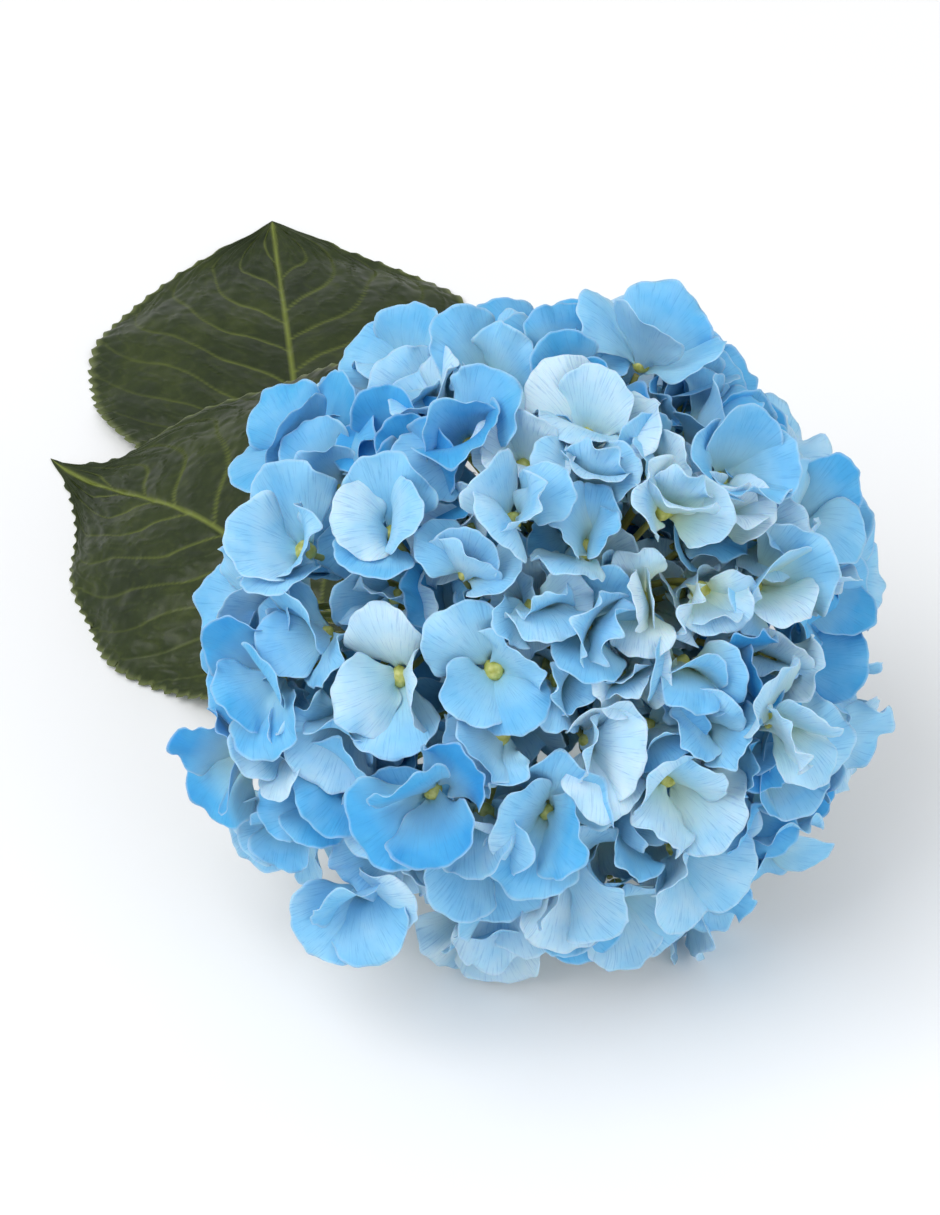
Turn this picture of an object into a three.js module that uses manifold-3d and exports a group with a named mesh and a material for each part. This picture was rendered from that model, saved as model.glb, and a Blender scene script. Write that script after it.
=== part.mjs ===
// A cut mophead hydrangea lying on a flat surface: a round head of four-sepalled florets on forked
// branches, a short cut stem behind it and two serrate leaves. Millimetres, +Z up, surface at z = 0.
// The face of the head looks forwards and up, towards -Y and +Z, and the stem runs back and to the left.
import * as THREE from "three";
import { mergeVertices } from "three/addons/utils/BufferGeometryUtils.js";
import Module from "manifold-3d";

const wasm = await Module();
wasm.setup();

// The head: half its width and its depth at the sepals' seats, and how its face is turned.
const HEAD_RADIUS = 74;
const HEAD_DEPTH = 60;
const FACE_ELEVATION = 45;
const FACE_TURN = 10;
const CROWN_DEPTH = 22;
const SETTLE = 4;

// One floret: its pedicel, its bud and the share of its spoke that the pedicel takes.
const PEDICEL_RADIUS = 1;
const PEDICEL_SHARE = 0.5;
const BUD_HEIGHT = 3.2;
const FLORET_SIDES = 16;
const LOBE_DEPTH = 0.08;
const FACE_LEAN = 0.35;

// Rings of florets from the middle of the face to the underside: how many, how far down the side, where
// the first one sits (degrees round from the right-hand side), the sepals' length and how steep their cup is.
const FLORET_RINGS = [
  { count: 1, down: 0, first: 0, sepal: 18, cup: 42 },
  { count: 5, down: 22, first: 50, sepal: 19, cup: 38 },
  { count: 10, down: 42, first: 5, sepal: 21, cup: 32 },
  { count: 13, down: 64, first: 15, sepal: 22, cup: 25 },
  { count: 13, down: 87, first: 2, sepal: 22, cup: 20 },
  { count: 9, down: 109, first: 10, sepal: 21, cup: 18 },
];

// The forked branches inside the head, from the crown's knob to the florets' pedicels.
const CROWN_RADIUS = 7;
const BRANCH_RADIUS = 2.2;
const TWIG_RADIUS = 1;
const FORK_DISTANCE = 20;
const BRANCHES_ROUND = 5;
const BRANCH_SPREAD = 62;

// The stem: its thickness, its reach from crown to cut end, the way it points, and its two leaf nodes.
const STEM_RADIUS = 4;
const STEM_REACH = 128;
const STEM_HEADING = 91;
const NODE_SWELL = 1.4;
const STEM_SIDES = 12;

// Two leaves, each on its own node of the stem. Each blade starts at its base height and comes down to lie
// on the surface, rolled about its midrib. Headings are degrees round from +X, seen from above.
const BLADE_THICKNESS = 1.6;
const PETIOLE_RADIUS = 2;
const LEAVES = [
  {
    name: "leaf_front", nodeShare: 0.36, petioleHeading: 190, petioleLength: 36, baseHeight: 27,
    heading: 133, length: 123, halfWidthRight: 59, halfWidthLeft: 43, widest: 0.46,
    tipPoint: 1.35, roll: 25,
  },
  {
    name: "leaf_back", nodeShare: 0.74, petioleHeading: 168, petioleLength: 54, baseHeight: 12,
    heading: 96, length: 121, halfWidthRight: 55, halfWidthLeft: 53, widest: 0.56,
    tipPoint: 0.7, roll: 0,
  },
];

// The free space kept between pieces that meet.
const GAP = 0.3;

const RIGHT = new THREE.Vector3(1, 0, 0);
const UP = new THREE.Vector3(0, 0, 1);
const radians = THREE.MathUtils.degToRad;

// Evenly spread values from -0.5 to 0.5 that vary from piece to piece, the same on every run.
function vary(index, stream) {
  const value = (index + 1) * 0.618034 + stream * 0.377;
  return value - Math.floor(value) - 0.5;
}

// The head's own axes: across, up the face, and out of the face.
const headTurn = new THREE.Matrix4()
  .makeRotationZ(radians(FACE_TURN))
  .multiply(new THREE.Matrix4().makeRotationX(radians(90 - FACE_ELEVATION)));
const acrossHead = RIGHT.clone().transformDirection(headTurn);
const upHead = new THREE.Vector3(0, 1, 0).transformDirection(headTurn);
const outOfFace = UP.clone().transformDirection(headTurn);

function headPoint(across, up, out) {
  return new THREE.Vector3()
    .addScaledVector(acrossHead, across)
    .addScaledVector(upHead, up)
    .addScaledVector(outOfFace, out);
}

// Two directions square to an axis, the first as near as can be to the hint.
function frameAround(axis, hint) {
  const first = hint.clone().addScaledVector(axis, -hint.dot(axis)).normalize();
  const second = new THREE.Vector3().crossVectors(axis, first);
  return [first, second];
}

function ringPoint(centre, frame, radius, angle) {
  return centre.clone()
    .addScaledVector(frame[0], radius * Math.cos(angle))
    .addScaledVector(frame[1], radius * Math.sin(angle));
}

// A closed skin over rings of points that run anticlockwise seen from the last end, with a point at each end.
function loft(firstEnd, rings, lastEnd) {
  const sides = rings[0].length;
  const points = [firstEnd, ...rings.flat(), lastEnd];
  const last = points.length - 1;
  const faces = [];
  for (let side = 0; side < sides; side += 1) {
    const next = (side + 1) % sides;
    faces.push(0, 1 + next, 1 + side);
    for (let ring = 0; ring < rings.length - 1; ring += 1) {
      const low = 1 + ring * sides;
      const high = low + sides;
      faces.push(low + side, low + next, high + next);
      faces.push(low + side, high + next, high + side);
    }
    const top = last - sides;
    faces.push(top + side, top + next, last);
  }
  const geometry = new THREE.BufferGeometry();
  geometry.setAttribute("position", new THREE.Float32BufferAttribute(points.flatMap((p) => p.toArray()), 3));
  geometry.setIndex(faces);
  return geometry;
}

function solidFrom(geometry) {
  const bare = geometry.clone();
  bare.deleteAttribute("normal");
  bare.deleteAttribute("uv");
  const merged = mergeVertices(bare);
  return new wasm.Manifold(new wasm.Mesh({
    numProp: 3,
    vertProperties: new Float32Array(merged.attributes.position.array),
    triVerts: new Uint32Array(merged.index.array),
  }));
}

function geometryFrom(solid) {
  const mesh = solid.getMesh();
  const geometry = new THREE.BufferGeometry();
  geometry.setAttribute("position", new THREE.BufferAttribute(mesh.vertProperties, 3));
  geometry.setIndex(new THREE.BufferAttribute(mesh.triVerts, 1));
  return geometry;
}

// A round rod between two points, tapering from one radius to the other, its far end square to endAxis.
function rod(from, to, fromRadius, toRadius, sides, endAxis) {
  const along = to.clone().sub(from).normalize();
  const startFrame = frameAround(along, upHead);
  const endFrame = frameAround(endAxis, startFrame[0]);
  const angles = Array.from({ length: sides }, (_, side) => (2 * Math.PI * side) / sides);
  const startRing = angles.map((angle) => ringPoint(from, startFrame, fromRadius, angle));
  const endRing = angles.map((angle) => ringPoint(to, endFrame, toRadius, angle));
  return loft(from, [startRing, endRing], to);
}

// Florets. Each stands on a spoke from the crown; its seat is on the head's rounded outline, and its sepals
// open round an axis that leans from the spoke towards the face.
function placeFlorets(crown, centre) {
  const florets = [];
  for (const ring of FLORET_RINGS) {
    for (let place = 0; place < ring.count; place += 1) {
      const index = florets.length;
      const round = radians(ring.first + (360 * place) / ring.count + 7 * vary(index, 1));
      const down = radians(ring.down + (ring.down > 0 ? 6 * vary(index, 2) : 0));
      const reach = 1 + 0.06 * vary(index, 3);
      const seat = headPoint(
        HEAD_RADIUS * Math.sin(down) * Math.cos(round) * reach,
        HEAD_RADIUS * Math.sin(down) * Math.sin(round) * reach,
        HEAD_DEPTH * Math.cos(down) * reach,
      ).add(centre);
      const spoke = seat.clone().sub(crown);
      const distance = spoke.length();
      spoke.normalize();
      const axis = spoke.clone()
        .addScaledVector(outOfFace, FACE_LEAN * Math.sin(down) + 0.2 * vary(index, 4))
        .addScaledVector(acrossHead, 0.3 * vary(index, 5))
        .normalize();
      florets.push({
        name: `floret_${String(index + 1).padStart(2, "0")}`,
        seat, spoke, distance, axis, cup: radians(ring.cup), sepal: ring.sepal, roll: 2 * Math.PI * vary(index, 6),
      });
    }
  }
  return florets;
}

// The flat limits of one floret's room: halfway to each neighbour, seen from the crown.
function limitsBetween(floret, florets, crown) {
  return florets.filter((other) => other !== floret).map((other) => {
    const normal = floret.spoke.clone().sub(other.spoke).normalize();
    return new THREE.Plane(normal, -normal.dot(crown) - GAP / 2);
  });
}

// A point drawn back towards the seat until it is inside every limit.
function keepInside(point, seat, limits) {
  let share = 1;
  for (const limit of limits) {
    const seatRoom = limit.distanceToPoint(seat);
    const pointRoom = limit.distanceToPoint(point);
    if (pointRoom < 0) {
      share = Math.min(share, seatRoom / (seatRoom - pointRoom));
    }
  }
  return seat.clone().lerp(point, share);
}

// One floret in one piece: pedicel, a cup of four sepals and the bud in its middle. Every ring is given by
// its distance and steepness from the seat, so the skin never folds over itself.
function floretGeometry(floret, limits) {
  const { seat, spoke, axis, cup, sepal, distance, roll } = floret;
  const frame = frameAround(axis, upHead);
  const footFrame = frameAround(spoke, frame[0]);
  const foot = seat.clone().addScaledVector(spoke, -distance * (1 - PEDICEL_SHARE));
  const angles = Array.from({ length: FLORET_SIDES }, (_, side) => (2 * Math.PI * side) / FLORET_SIDES);
  const ringAt = (steepness, reachAt) => angles.map((angle) => {
    const reach = reachAt(angle);
    const centre = seat.clone().addScaledVector(axis, reach * Math.sin(steepness));
    return keepInside(ringPoint(centre, frame, reach * Math.cos(steepness), angle + roll), seat, limits);
  });
  const footRing = angles.map((angle) => ringPoint(foot, footFrame, PEDICEL_RADIUS, angle + roll));
  const rings = [
    footRing,
    ringAt(radians(-58), () => 2.4 * PEDICEL_RADIUS),
    ringAt(cup, (angle) => sepal * (1 + LOBE_DEPTH * Math.cos(4 * angle))),
    ringAt(cup + radians(6), () => BUD_HEIGHT + GAP),
    ringAt(radians(60), () => 0.92 * BUD_HEIGHT),
  ];
  return loft(foot, rings, seat.clone().addScaledVector(axis, BUD_HEIGHT));
}

// Branches. One runs out to the middle of the face and the others stand round it; each forks into a twig
// for every floret whose spoke is nearest to it.
function placeBranches(crown, florets) {
  const branches = [{ spoke: outOfFace.clone(), florets: [] }];
  for (let place = 0; place < BRANCHES_ROUND; place += 1) {
    const round = radians(90 + (360 * place) / BRANCHES_ROUND);
    const spread = radians(BRANCH_SPREAD);
    const spoke = headPoint(
      Math.sin(spread) * Math.cos(round), Math.sin(spread) * Math.sin(round), Math.cos(spread));
    branches.push({ spoke, florets: [] });
  }
  for (const floret of florets) {
    const nearness = branches.map((branch) => branch.spoke.dot(floret.spoke));
    branches[nearness.indexOf(Math.max(...nearness))].florets.push(floret);
  }
  return branches.map((branch, index) => ({
    name: `branch_${index + 1}`,
    spoke: branch.spoke,
    start: crown.clone().addScaledVector(branch.spoke, CROWN_RADIUS + GAP),
    fork: crown.clone().addScaledVector(branch.spoke, FORK_DISTANCE),
    florets: branch.florets,
  }));
}

function branchGeometry(branch) {
  const knuckle = new THREE.IcosahedronGeometry(BRANCH_RADIUS, 1).translate(...branch.fork.toArray());
  const neck = rod(branch.start, branch.fork, BRANCH_RADIUS, 0.8 * BRANCH_RADIUS, 8, branch.spoke);
  let solid = solidFrom(neck);
  solid = solid.add(solidFrom(knuckle));
  for (const floret of branch.florets) {
    const footDistance = -floret.distance * (1 - PEDICEL_SHARE) - GAP;
    const tip = floret.seat.clone().addScaledVector(floret.spoke, footDistance);
    solid = solid.add(solidFrom(rod(branch.fork, tip, TWIG_RADIUS, PEDICEL_RADIUS, 6, floret.spoke)));
  }
  return geometryFrom(solid);
}

// The stem curves down from the crown and comes to lie flat on the surface at its cut end.
function stemCurve(crown) {
  const drop = crown.z - STEM_RADIUS;
  const run = Math.sqrt(STEM_REACH ** 2 - drop ** 2);
  const heading = radians(STEM_HEADING);
  const along = new THREE.Vector3(Math.cos(heading), Math.sin(heading), 0);
  const bend = crown.clone().addScaledVector(along, 0.5 * run).setZ(STEM_RADIUS);
  const end = crown.clone().addScaledVector(along, run).setZ(STEM_RADIUS);
  return new THREE.QuadraticBezierCurve3(crown, bend, end);
}

function stemRadiusAt(share) {
  const swellings = LEAVES.map((leaf) => NODE_SWELL * Math.exp(-(((share - leaf.nodeShare) / 0.03) ** 2)));
  return STEM_RADIUS + Math.max(...swellings);
}

function stemGeometry(curve, crown) {
  const length = curve.getLength();
  const neck = Math.sqrt(CROWN_RADIUS ** 2 - STEM_RADIUS ** 2) / length;
  const swellShares = LEAVES.flatMap((leaf) => [-0.06, -0.03, 0, 0.03, 0.06].map((step) => leaf.nodeShare + step));
  const shares = [1, 0.9, 0.62, 0.5, 0.24, 0.15, neck, ...swellShares].sort((a, b) => b - a);
  const angles = Array.from({ length: STEM_SIDES }, (_, side) => (2 * Math.PI * side) / STEM_SIDES);
  const rings = shares.map((share) => {
    const frame = frameAround(curve.getTangentAt(share).negate(), UP);
    return angles.map((angle) => {
      const point = ringPoint(curve.getPointAt(share), frame, stemRadiusAt(share), angle);
      return point.setZ(Math.max(point.z, 0));
    });
  });
  const topAxis = curve.getTangentAt(0).negate();
  const topFrame = frameAround(topAxis, UP);
  for (const steepness of [-35, 0, 32, 62]) {
    const centre = crown.clone().addScaledVector(topAxis, CROWN_RADIUS * Math.sin(radians(steepness)));
    const radius = CROWN_RADIUS * Math.cos(radians(steepness));
    rings.push(angles.map((angle) => ringPoint(centre, topFrame, radius, angle)));
  }
  return loft(curve.getPointAt(1), rings, crown.clone().addScaledVector(topAxis, CROWN_RADIUS));
}

// How full the blade's outline is at its base.
const BASE_ROUNDNESS = 0.7;

// Half the blade's width along its length: nothing at base and tip, and all of it where it is widest.
function widthShare(share, leaf) {
  const arch = Math.sin(Math.PI * share ** (Math.log(0.5) / Math.log(leaf.widest)));
  return arch ** THREE.MathUtils.lerp(BASE_ROUNDNESS, leaf.tipPoint, share);
}

// Across the blade the two halves rise from the midrib and droop again at the margin.
function bladeRise(across) {
  return 0.24 * Math.abs(across) - 0.34 * across ** 2;
}

// One leaf in one piece: a petiole from the stem, then the blade, whose lower margin lies on the surface.
function leafGeometry(leaf, curve) {
  const node = curve.getPointAt(leaf.nodeShare);
  const petioleWay = new THREE.Vector3(
    Math.cos(radians(leaf.petioleHeading)), Math.sin(radians(leaf.petioleHeading)), 0);
  const bladeWay = new THREE.Vector3(Math.cos(radians(leaf.heading)), Math.sin(radians(leaf.heading)), 0);
  const tangent = curve.getTangentAt(leaf.nodeShare);
  const [side] = frameAround(tangent, petioleWay);
  const start = node.clone().addScaledVector(side, stemRadiusAt(leaf.nodeShare) + GAP);
  const base = start.clone().addScaledVector(petioleWay, leaf.petioleLength);
  const tip = base.clone().addScaledVector(bladeWay, leaf.length);
  const roll = radians(leaf.roll);
  const stations = [];
  for (const share of [0, 0.3, 0.6, 0.85]) {
    stations.push({ plan: start.clone().lerp(base, share), blade: 0, petiole: share });
  }
  for (const share of [0.02, 0.06, 0.12, 0.2, 0.3, 0.4, 0.5, 0.6, 0.7, 0.79, 0.87, 0.93, 0.97]) {
    stations.push({ plan: base.clone().lerp(tip, share), blade: share, petiole: 1 });
  }
  const rings = stations.map(({ plan, blade, petiole }) => {
    const turn = THREE.MathUtils.smoothstep(petiole + 2 * blade, 0.3, 1.3);
    const way = petioleWay.clone().lerp(bladeWay, turn).normalize();
    const level = new THREE.Vector3().crossVectors(way, UP);
    const rolled = roll * turn;
    const lateral = level.clone().multiplyScalar(Math.cos(rolled)).addScaledVector(UP, Math.sin(rolled));
    const normal = new THREE.Vector3().crossVectors(lateral, way);
    const spread = widthShare(blade, leaf);
    const thickness = Math.max(BLADE_THICKNESS / 2, PETIOLE_RADIUS * (1 - 3 * blade));
    const offsets = Array.from({ length: 12 }, (_, step) => {
      const angle = (-2 * Math.PI * step) / 12;
      const across = Math.cos(angle);
      const halfWidth = PETIOLE_RADIUS + spread * (across > 0 ? leaf.halfWidthRight : leaf.halfWidthLeft);
      const rise = thickness * Math.sin(angle) + spread * halfWidth * bladeRise(across);
      return lateral.clone().multiplyScalar(halfWidth * across).addScaledVector(normal, rise);
    });
    const lowest = Math.min(...offsets.map((offset) => offset.z));
    const hangHeight = THREE.MathUtils.lerp(start.z, leaf.baseHeight, petiole);
    const height = THREE.MathUtils.lerp(hangHeight, -lowest, THREE.MathUtils.smoothstep(blade, 0, 0.6));
    const centre = plan.clone().setZ(Math.max(height, -lowest));
    return offsets.map((offset) => offset.add(centre));
  });
  const end = tip.clone().setZ(BLADE_THICKNESS / 2);
  return loft(start, rings, end);
}

// Put together: the head hangs over the surface at the height where its lowest sepals are pressed by SETTLE.
const looseFlorets = placeFlorets(headPoint(0, 0, -CROWN_DEPTH), new THREE.Vector3());
const looseCrown = headPoint(0, 0, -CROWN_DEPTH);
const looseHead = new THREE.Box3();
for (const floret of looseFlorets) {
  const geometry = floretGeometry(floret, limitsBetween(floret, looseFlorets, looseCrown));
  looseHead.union(new THREE.Box3().setFromBufferAttribute(geometry.attributes.position));
}
const centre = new THREE.Vector3(0, 0, -looseHead.min.z - SETTLE);
const crown = centre.clone().add(looseCrown);
const florets = placeFlorets(crown, centre);
const branches = placeBranches(crown, florets);
const curve = stemCurve(crown);
const surface = new THREE.Plane(UP.clone(), 0);

const SEPAL_BLUES = [0x8fc3ec, 0xa9d3f0, 0x6fb0e4, 0xbcdcf0, 0x7db8e8];
const leafGreen = new THREE.MeshStandardMaterial({ color: 0x36452a, roughness: 0.55, metalness: 0 });
const stemGreen = new THREE.MeshStandardMaterial({ color: 0x7d8a4a, roughness: 0.6, metalness: 0 });
const branchGreen = new THREE.MeshStandardMaterial({ color: 0xa8a652, roughness: 0.6, metalness: 0 });

const hydrangea = new THREE.Group();
hydrangea.name = "cut_hydrangea";

function addPiece(name, geometry, material) {
  geometry.computeVertexNormals();
  const mesh = new THREE.Mesh(geometry, material);
  mesh.name = name;
  hydrangea.add(mesh);
}

addPiece("stem", stemGeometry(curve, crown), stemGreen);
for (const branch of branches) {
  addPiece(branch.name, branchGeometry(branch), branchGreen);
}
florets.forEach((floret, index) => {
  const limits = [...limitsBetween(floret, florets, crown), surface];
  const colour = SEPAL_BLUES[index % SEPAL_BLUES.length];
  const sepalBlue = new THREE.MeshStandardMaterial({ color: colour, roughness: 0.6, metalness: 0 });
  addPiece(floret.name, floretGeometry(floret, limits), sepalBlue);
});
for (const leaf of LEAVES) {
  addPiece(leaf.name, leafGeometry(leaf, curve), leafGreen);
}

// The origin is under the middle of the whole flower, on the surface.
const box = new THREE.Box3().setFromObject(hydrangea);
const middle = box.getCenter(new THREE.Vector3());
hydrangea.position.set(-middle.x, -middle.y, -box.min.z);
hydrangea.updateMatrixWorld(true);

export default hydrangea;
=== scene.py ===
import math

import bpy
import numpy as np
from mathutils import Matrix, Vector


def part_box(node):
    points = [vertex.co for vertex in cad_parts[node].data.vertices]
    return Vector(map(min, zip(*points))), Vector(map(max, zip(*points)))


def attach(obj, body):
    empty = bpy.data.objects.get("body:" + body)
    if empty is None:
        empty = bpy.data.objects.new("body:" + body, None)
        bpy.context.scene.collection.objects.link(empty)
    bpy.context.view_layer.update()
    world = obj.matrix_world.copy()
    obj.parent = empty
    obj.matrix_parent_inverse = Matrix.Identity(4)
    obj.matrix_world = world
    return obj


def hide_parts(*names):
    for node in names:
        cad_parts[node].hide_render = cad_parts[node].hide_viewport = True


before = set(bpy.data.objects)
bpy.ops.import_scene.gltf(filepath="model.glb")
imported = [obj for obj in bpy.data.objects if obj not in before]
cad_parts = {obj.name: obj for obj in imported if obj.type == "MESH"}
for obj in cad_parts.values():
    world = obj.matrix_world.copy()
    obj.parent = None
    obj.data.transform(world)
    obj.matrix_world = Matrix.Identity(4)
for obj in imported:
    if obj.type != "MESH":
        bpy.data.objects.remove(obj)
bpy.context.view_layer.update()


# ---- The stem ----------------------------------------------------------------------------------------
# A cut, half-woody green stem. It swells at its two leaf nodes and at the crown where the head branches,
# carries small corky pores, and ends in a plain knife cut with a pale wood ring round a white pith.

def layers(node):
    """The rings of points that a closed lofted node is made of, from its first end to its last."""
    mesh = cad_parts[node].data
    corners = np.array([vertex.co for vertex in mesh.vertices])
    triangles = np.array([polygon.vertices for polygon in mesh.polygons])
    points, same = np.unique(np.round(corners, 7), axis=0, return_inverse=True)
    triangles = same.reshape(-1)[triangles]
    meeting = np.bincount(triangles.ravel(), minlength=len(points))
    neighbours = [set() for _ in points]
    for a, b, c in triangles:
        neighbours[a].update((b, c))
        neighbours[b].update((a, c))
        neighbours[c].update((a, b))
    ends = np.argsort(-meeting, kind="stable")[:2]
    found = []
    reached = {int(ends[0])}
    ring = [int(ends[0])]
    while ring:
        found.append(points[ring])
        following = sorted(set().union(*(neighbours[i] for i in ring)) - reached)
        reached.update(following)
        ring = following
    return found


def unit(vectors):
    """Vectors of length one along the given ones."""
    return vectors / np.maximum(np.linalg.norm(vectors, axis=-1, keepdims=True), 1e-12)


def smoothstep(low, high, value):
    """A share that rises smoothly from 0 at the low value to 1 at the high one."""
    share = np.clip((value - low) / (high - low), 0, 1)
    return share * share * (3 - 2 * share)


def linear(hex_colour):
    """An sRGB hex colour as the linear RGBA that shader sockets take."""
    parts = [int(hex_colour[i:i + 2], 16) / 255 for i in (1, 3, 5)]
    return [c / 12.92 if c <= 0.04045 else ((c + 0.055) / 1.055) ** 2.4 for c in parts] + [1]


def add_node(tree, kind, settings=None, links=None):
    """Adds a node with its settings (properties, socket values, ramp stops) and the sockets that feed it."""
    node = tree.nodes.new(kind)
    for name, value in (settings or {}).items():
        if name == "stops":
            elements = node.color_ramp.elements
            while len(elements) < len(value):
                elements.new(0.5)
            for element, (place, colour) in zip(elements, value):
                element.position = place
                element.color = linear(colour)
        elif isinstance(name, int) or name in node.inputs:
            is_colour = isinstance(value, str) and value.startswith("#")
            node.inputs[name].default_value = linear(value) if is_colour else value
        else:
            setattr(node, name, value)
    for name, source in (links or {}).items():
        tree.links.new(source, node.inputs[name])
    return node


def new_material(name, roughness, **shader_values):
    """A material with one Principled shader. Returns it with its tree and that shader."""
    material = bpy.data.materials.new(name)
    material.use_nodes = True
    tree = material.node_tree
    shader = tree.nodes["Principled BSDF"]
    shader.inputs["Roughness"].default_value = roughness
    for socket, value in shader_values.items():
        shader.inputs[socket.replace("_", " ")].default_value = value
    return material, tree, shader


def new_piece(name, points, faces, materials, face_slots=None, attributes=None, uv=None):
    """A smooth mesh object from arrays, with its per-point attributes, its UV map and its materials."""
    mesh = bpy.data.meshes.new(name)
    mesh.from_pydata(points.tolist(), [], [list(map(int, face)) for face in faces])
    for material in materials:
        mesh.materials.append(material)
    if face_slots is not None:
        mesh.polygons.foreach_set("material_index", np.asarray(face_slots, np.int32))
    mesh.polygons.foreach_set("use_smooth", np.ones(len(mesh.polygons), bool))
    for label, values in (attributes or {}).items():
        attribute = mesh.attributes.new(label, "FLOAT", "POINT")
        attribute.data.foreach_set("value", values.astype(np.float32))
    if uv is not None:
        corners = np.zeros(len(mesh.loops), np.int32)
        mesh.loops.foreach_get("vertex_index", corners)
        mesh.uv_layers.new(name="UVMap").data.foreach_set("uv", uv[corners].astype(np.float32).ravel())
    mesh.update()
    piece = bpy.data.objects.new(name, mesh)
    bpy.context.scene.collection.objects.link(piece)
    return piece


def stand_for(piece, slot, *nodes):
    """Rides a piece on the flower's one body, in place of its CAD nodes. The slot argument is not used."""
    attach(piece, "root")
    if nodes:
        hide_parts(*nodes)


def skin_faces(rings, sides):
    """Quads between closed rings of points that are stored one ring after the other."""
    ring, side = np.meshgrid(np.arange(rings - 1), np.arange(sides), indexing="ij")
    low = (ring * sides + side).ravel()
    low_next = (ring * sides + (side + 1) % sides).ravel()
    return np.stack([low, low_next, low_next + sides, low + sides], 1)


STEM_SIDES = 48
STEM_STEP = 0.0009
STEM_SMOOTHINGS = 6
GROOVE = 0.00012
CUT_RINGS = (0.02, 0.45, 0.93)
CROWN_LAYER = -3
# A colour Mix node's sockets have the same names as its other kinds' sockets, so they go by number.
MIX_SHARE, MIX_FIRST, MIX_SECOND, MIX_RESULT = 0, 6, 7, 2

stem_layers = layers("stem")
if np.linalg.norm(stem_layers[0][0] - stem_layers[1].mean(0)) > 0.001:
    stem_layers.reverse()
stem_middles = np.array([ring.mean(0) for ring in stem_layers[1:-1]])
stem_radii = np.array([np.linalg.norm(ring - ring.mean(0), axis=1).mean() for ring in stem_layers[1:-1]])
crown = stem_middles[CROWN_LAYER]
stem_runs = np.concatenate([[0], np.cumsum(np.linalg.norm(np.diff(stem_middles, axis=0), axis=1))])
stem_places = np.arange(0, stem_runs[-1], STEM_STEP)
stem_line = np.stack([np.interp(stem_places, stem_runs, stem_middles[:, axis]) for axis in range(3)], 1)
for _ in range(STEM_SMOOTHINGS):
    stem_line[1:-1] = (stem_line[:-2] + 2 * stem_line[1:-1] + stem_line[2:]) / 4
stem_thickness = np.interp(stem_places, stem_runs, stem_radii)
stem_way = unit(np.gradient(stem_line, axis=0))
stem_side = unit(np.cross(stem_way, [1, 0, 0]))
stem_front = np.cross(stem_way, stem_side)
stem_angles = np.linspace(0, 2 * math.pi, STEM_SIDES, endpoint=False)
grooves = GROOVE * (np.cos(6 * stem_angles) + 0.5 * np.cos(11 * stem_angles + 1))
stem_wall = (stem_thickness[:, None] - GROOVE + grooves)[..., None]
stem_points = stem_line[:, None] + stem_wall * (
    np.cos(stem_angles)[:, None] * stem_side[:, None] + np.sin(stem_angles)[:, None] * stem_front[:, None])
stem_points[..., 2] = np.maximum(stem_points[..., 2], 0)
# Three rings draw in over the cut, so that its wood and pith are real faces. A flat face closes each end.
cut_rings = [stem_line[0] + (stem_points[0] - stem_line[0]) * share for share in CUT_RINGS]
stem_rings = np.concatenate([np.array(cut_rings), stem_points])
stem_faces = skin_faces(len(stem_rings), STEM_SIDES).tolist()
stem_faces.append(list(range(STEM_SIDES))[::-1])
stem_faces.append([(len(stem_rings) - 1) * STEM_SIDES + side for side in range(STEM_SIDES)])
cut_share = np.repeat(np.concatenate([[1, 0.75, 0.5], np.zeros(len(stem_points))]), STEM_SIDES)

# Soft green stem skin: waxy and streaked along its length.
stem_skin, tree, shader = new_material("green_stem_skin", 0.5, Subsurface_Weight=0.1)
shader.inputs["Subsurface Radius"].default_value = (0.001, 0.0012, 0.0006)
place = add_node(tree, "ShaderNodeTexCoord")
streaks = add_node(tree, "ShaderNodeTexNoise", {"Scale": 160.0, "Detail": 4.0},
                   {"Vector": place.outputs["Object"]})
skin = add_node(tree, "ShaderNodeValToRGB",
                {"stops": [(0.3, "#5f7036"), (0.55, "#7f8c48"), (0.75, "#9a9a5c")]},
                {"Fac": streaks.outputs["Fac"]})
cut = add_node(tree, "ShaderNodeAttribute", {"attribute_name": "cut"})
inside = add_node(tree, "ShaderNodeValToRGB",
                  {"stops": [(0.5, "#c9c48e"), (0.72, "#e6e2c4"), (0.9, "#f1efe2")]},
                  {"Fac": cut.outputs["Fac"]})
is_cut = add_node(tree, "ShaderNodeMath", {"operation": "GREATER_THAN", 1: 0.3}, {0: cut.outputs["Fac"]})
colour = add_node(tree, "ShaderNodeMix", {"data_type": "RGBA"}, {
    MIX_SHARE: is_cut.outputs[0], MIX_FIRST: skin.outputs["Color"], MIX_SECOND: inside.outputs["Color"]})
tree.links.new(colour.outputs[MIX_RESULT], shader.inputs["Base Color"])
bump = add_node(tree, "ShaderNodeBump", {"Strength": 0.3, "Distance": 0.0003},
                {"Height": streaks.outputs["Fac"]})
tree.links.new(bump.outputs["Normal"], shader.inputs["Normal"])

cut_stem = new_piece("cut_stem", stem_rings.reshape(-1, 3), stem_faces, [stem_skin],
                     attributes={"cut": cut_share})
stand_for(cut_stem, "stem_green", "stem")


# ---- The stem's pores --------------------------------------------------------------------------------
# Lenticels: small corky ovals, a little over a millimetre long, where the stem's skin breathes. They are
# dry cork that has grown through the skin, and stand slightly proud of it.

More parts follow.
